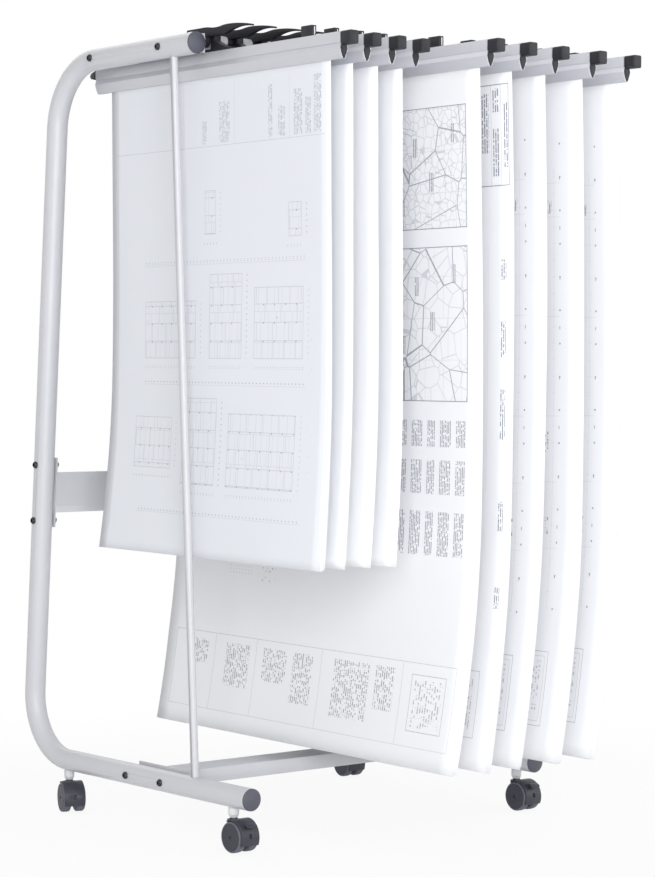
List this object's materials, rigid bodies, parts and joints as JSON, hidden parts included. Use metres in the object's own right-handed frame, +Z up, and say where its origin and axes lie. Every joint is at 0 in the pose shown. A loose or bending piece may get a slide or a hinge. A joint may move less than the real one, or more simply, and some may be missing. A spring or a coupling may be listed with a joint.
{
  "type": "plan hanging rack",
  "caption": "Front-loading trolley rack on castors that stores large drawings vertically in clamp hangers hooked over a front rail.",
  "frame": {"origin": "on the floor, in the middle of the whole object in X and Y", "axes": "+Z up, -Y the front that the hangers are loaded from, +X to the right of someone facing the front from behind the rack"},
  "size_m": [0.7195, 0.9725, 1.4003],
  "materials": {
    "frame_paint": "satin",
    "fasteners": "satin",
    "end_caps": "matte",
    "finger_plastic": "matte",
    "castor_sockets": "satin",
    "castor_hood": "matte",
    "castor_brake": "satin",
    "castor_tread": "satin",
    "hanger_aluminium": "satin anodised",
    "hanger_plastic": "matte",
    "drawing_sheets": "matte"
  },
  "bodies": {
    "rack": {"bottom_brace": "frame_paint", "castor_sockets": "castor_sockets", "finger_arms": "finger_plastic", "frame_bolts": "fasteners", "left_side_frame": "frame_paint", "mid_brace": "frame_paint", "right_side_frame": "frame_paint", "stay_rods": "frame_paint", "top_panel": "frame_paint", "tube_end_caps": "end_caps"},
    "front_left_castor": {"front_left_castor_hood": "castor_hood"},
    "front_left_left_wheel": {"front_left_left_wheel": "castor_tread"},
    "front_left_right_wheel": {"front_left_right_wheel": "castor_tread"},
    "front_left_brake": {"front_left_brake_lever": "castor_brake"},
    "front_right_castor": {"front_right_castor_hood": "castor_hood"},
    "front_right_left_wheel": {"front_right_left_wheel": "castor_tread"},
    "front_right_right_wheel": {"front_right_right_wheel": "castor_tread"},
    "front_right_brake": {"front_right_brake_lever": "castor_brake"},
    "rear_left_castor": {"rear_left_castor_hood": "castor_hood"},
    "rear_left_left_wheel": {"rear_left_left_wheel": "castor_tread"},
    "rear_left_right_wheel": {"rear_left_right_wheel": "castor_tread"},
    "rear_right_castor": {"rear_right_castor_hood": "castor_hood"},
    "rear_right_left_wheel": {"rear_right_left_wheel": "castor_tread"},
    "rear_right_right_wheel": {"rear_right_right_wheel": "castor_tread"},
    "hanger_1": {"hanger_1_rail": "hanger_aluminium", "hanger_1_fittings": "hanger_plastic", "hanger_1_sheets": "drawing_sheets"},
    "hanger_1_clamp": {"hanger_1_jaw": "hanger_aluminium"},
    "hanger_2": {"hanger_2_rail": "hanger_aluminium", "hanger_2_fittings": "hanger_plastic", "hanger_2_sheets": "drawing_sheets"},
    "hanger_2_clamp": {"hanger_2_jaw": "hanger_aluminium"},
    "hanger_3": {"hanger_3_rail": "hanger_aluminium", "hanger_3_fittings": "hanger_plastic", "hanger_3_sheets": "drawing_sheets"},
    "hanger_3_clamp": {"hanger_3_jaw": "hanger_aluminium"},
    "hanger_4": {"hanger_4_rail": "hanger_aluminium", "hanger_4_fittings": "hanger_plastic", "hanger_4_sheets": "drawing_sheets"},
    "hanger_4_clamp": {"hanger_4_jaw": "hanger_aluminium"},
    "hanger_5": {"hanger_5_rail": "hanger_aluminium", "hanger_5_fittings": "hanger_plastic", "hanger_5_sheets": "drawing_sheets"},
    "hanger_5_clamp": {"hanger_5_jaw": "hanger_aluminium"},
    "hanger_6": {"hanger_6_rail": "hanger_aluminium", "hanger_6_fittings": "hanger_plastic", "hanger_6_sheets": "drawing_sheets"},
    "hanger_6_clamp": {"hanger_6_jaw": "hanger_aluminium"},
    "hanger_7": {"hanger_7_rail": "hanger_aluminium", "hanger_7_fittings": "hanger_plastic", "hanger_7_sheets": "drawing_sheets"},
    "hanger_7_clamp": {"hanger_7_jaw": "hanger_aluminium"},
    "hanger_8": {"hanger_8_rail": "hanger_aluminium", "hanger_8_fittings": "hanger_plastic", "hanger_8_sheets": "drawing_sheets"},
    "hanger_8_clamp": {"hanger_8_jaw": "hanger_aluminium"},
    "hanger_9": {"hanger_9_rail": "hanger_aluminium", "hanger_9_fittings": "hanger_plastic", "hanger_9_sheets": "drawing_sheets"},
    "hanger_9_clamp": {"hanger_9_jaw": "hanger_aluminium"}
  },
  "joints": [
    {"name": "front_left_swivel", "type": "hinge", "parent": "rack", "child": "front_left_castor", "pos_m": [-0.331, -0.14593, 0], "axis": [0, 0, 1], "continuous": true},
    {"name": "front_left_left_wheel_spin", "type": "hinge", "parent": "front_left_castor", "child": "front_left_left_wheel", "pos_m": [-0.331, -0.16343, 0.0265], "axis": [1, 0, 0], "continuous": true},
    {"name": "front_left_right_wheel_spin", "type": "hinge", "parent": "front_left_castor", "child": "front_left_right_wheel", "pos_m": [-0.331, -0.16343, 0.0265], "axis": [1, 0, 0], "continuous": true},
    {"name": "front_left_brake_hinge", "type": "hinge", "parent": "front_left_castor", "child": "front_left_brake", "pos_m": [-0.331, -0.18642, 0.04948], "axis": [1, 0, 0], "range_deg": [0, 15]},
    {"name": "front_right_swivel", "type": "hinge", "parent": "rack", "child": "front_right_castor", "pos_m": [0.331, -0.14593, 0], "axis": [0, 0, 1], "continuous": true},
    {"name": "front_right_left_wheel_spin", "type": "hinge", "parent": "front_right_castor", "child": "front_right_left_wheel", "pos_m": [0.331, -0.16343, 0.0265], "axis": [1, 0, 0], "continuous": true},
    {"name": "front_right_right_wheel_spin", "type": "hinge", "parent": "front_right_castor", "child": "front_right_right_wheel", "pos_m": [0.331, -0.16343, 0.0265], "axis": [1, 0, 0], "continuous": true},
    {"name": "front_right_brake_hinge", "type": "hinge", "parent": "front_right_castor", "child": "front_right_brake", "pos_m": [0.331, -0.18642, 0.04948], "axis": [1, 0, 0], "range_deg": [0, 15]},
    {"name": "rear_left_swivel", "type": "hinge", "parent": "rack", "child": "rear_left_castor", "pos_m": [-0.331, 0.35207, 0], "axis": [0, 0, 1], "continuous": true},
    {"name": "rear_left_left_wheel_spin", "type": "hinge", "parent": "rear_left_castor", "child": "rear_left_left_wheel", "pos_m": [-0.33698, 0.33562, 0.0265], "axis": [0.9397, -0.342, 0], "continuous": true},
    {"name": "rear_left_right_wheel_spin", "type": "hinge", "parent": "rear_left_castor", "child": "rear_left_right_wheel", "pos_m": [-0.33698, 0.33562, 0.0265], "axis": [0.9397, -0.342, 0], "continuous": true},
    {"name": "rear_right_swivel", "type": "hinge", "parent": "rack", "child": "rear_right_castor", "pos_m": [0.331, 0.35207, 0], "axis": [0, 0, 1], "continuous": true},
    {"name": "rear_right_left_wheel_spin", "type": "hinge", "parent": "rear_right_castor", "child": "rear_right_left_wheel", "pos_m": [0.32948, 0.33463, 0.0265], "axis": [0.9962, -0.0872, 0], "continuous": true},
    {"name": "rear_right_right_wheel_spin", "type": "hinge", "parent": "rear_right_castor", "child": "rear_right_right_wheel", "pos_m": [0.32948, 0.33463, 0.0265], "axis": [0.9962, -0.0872, 0], "continuous": true},
    {"name": "hanger_1_lift_off", "type": "slide", "parent": "rack", "child": "hanger_1", "axis": [0, -0.9962, 0.0872], "range_m": [0, 0.06]},
    {"name": "hanger_1_clamp_hinge", "type": "hinge", "parent": "hanger_1", "child": "hanger_1_clamp", "pos_m": [-0.2848, 0, 1.3401], "axis": [0, -1, 0], "range_deg": [0, 8], "stiffness_Nm_per_rad": 0.6, "springref_deg": -2.86},
    {"name": "hanger_2_lift_off", "type": "slide", "parent": "rack", "child": "hanger_2", "axis": [0, -0.9962, 0.0872], "range_m": [0, 0.06]},
    {"name": "hanger_2_clamp_hinge", "type": "hinge", "parent": "hanger_2", "child": "hanger_2_clamp", "pos_m": [-0.2358, 0, 1.3401], "axis": [0, -1, 0], "range_deg": [0, 8], "stiffness_Nm_per_rad": 0.6, "springref_deg": -2.86},
    {"name": "hanger_3_lift_off", "type": "slide", "parent": "rack", "child": "hanger_3", "axis": [0, -0.9962, 0.0872], "range_m": [0, 0.06]},
    {"name": "hanger_3_clamp_hinge", "type": "hinge", "parent": "hanger_3", "child": "hanger_3_clamp", "pos_m": [-0.1818, 0, 1.3401], "axis": [0, -1, 0], "range_deg": [0, 8], "stiffness_Nm_per_rad": 0.6, "springref_deg": -2.86},
    {"name": "hanger_4_lift_off", "type": "slide", "parent": "rack", "child": "hanger_4", "axis": [0, -0.9962, 0.0872], "range_m": [0, 0.06]},
    {"name": "hanger_4_clamp_hinge", "type": "hinge", "parent": "hanger_4", "child": "hanger_4_clamp", "pos_m": [-0.1298, 0, 1.3401], "axis": [0, -1, 0], "range_deg": [0, 8], "stiffness_Nm_per_rad": 0.6, "springref_deg": -2.86},
    {"name": "hanger_5_lift_off", "type": "slide", "parent": "rack", "child": "hanger_5", "axis": [0, -0.9962, 0.0872], "range_m": [0, 0.06]},
    {"name": "hanger_5_clamp_hinge", "type": "hinge", "parent": "hanger_5", "child": "hanger_5_clamp", "pos_m": [-0.0408, 0, 1.3401], "axis": [0, -1, 0], "range_deg": [0, 8], "stiffness_Nm_per_rad": 0.6, "springref_deg": -2.86},
    {"name": "hanger_6_lift_off", "type": "slide", "parent": "rack", "child": "hanger_6", "axis": [0, -0.9962, 0.0872], "range_m": [0, 0.06]},
    {"name": "hanger_6_clamp_hinge", "type": "hinge", "parent": "hanger_6", "child": "hanger_6_clamp", "pos_m": [0.0332, 0, 1.3401], "axis": [0, -1, 0], "range_deg": [0, 8], "stiffness_Nm_per_rad": 0.6, "springref_deg": -2.86},
    {"name": "hanger_7_lift_off", "type": "slide", "parent": "rack", "child": "hanger_7", "axis": [0, -0.9962, 0.0872], "range_m": [0, 0.06]},
    {"name": "hanger_7_clamp_hinge", "type": "hinge", "parent": "hanger_7", "child": "hanger_7_clamp", "pos_m": [0.1092, 0, 1.3401], "axis": [0, -1, 0], "range_deg": [0, 8], "stiffness_Nm_per_rad": 0.6, "springref_deg": -2.86},
    {"name": "hanger_8_lift_off", "type": "slide", "parent": "rack", "child": "hanger_8", "axis": [0, -0.9962, 0.0872], "range_m": [0, 0.06]},
    {"name": "hanger_8_clamp_hinge", "type": "hinge", "parent": "hanger_8", "child": "hanger_8_clamp", "pos_m": [0.1992, 0, 1.3401], "axis": [0, -1, 0], "range_deg": [0, 8], "stiffness_Nm_per_rad": 0.6, "springref_deg": -2.86},
    {"name": "hanger_9_lift_off", "type": "slide", "parent": "rack", "child": "hanger_9", "axis": [0, -0.9962, 0.0872], "range_m": [0, 0.06]},
    {"name": "hanger_9_clamp_hinge", "type": "hinge", "parent": "hanger_9", "child": "hanger_9_clamp", "pos_m": [0.2842, 0, 1.3401], "axis": [0, -1, 0], "range_deg": [0, 8], "stiffness_Nm_per_rad": 0.6, "springref_deg": -2.86}
  ]
}
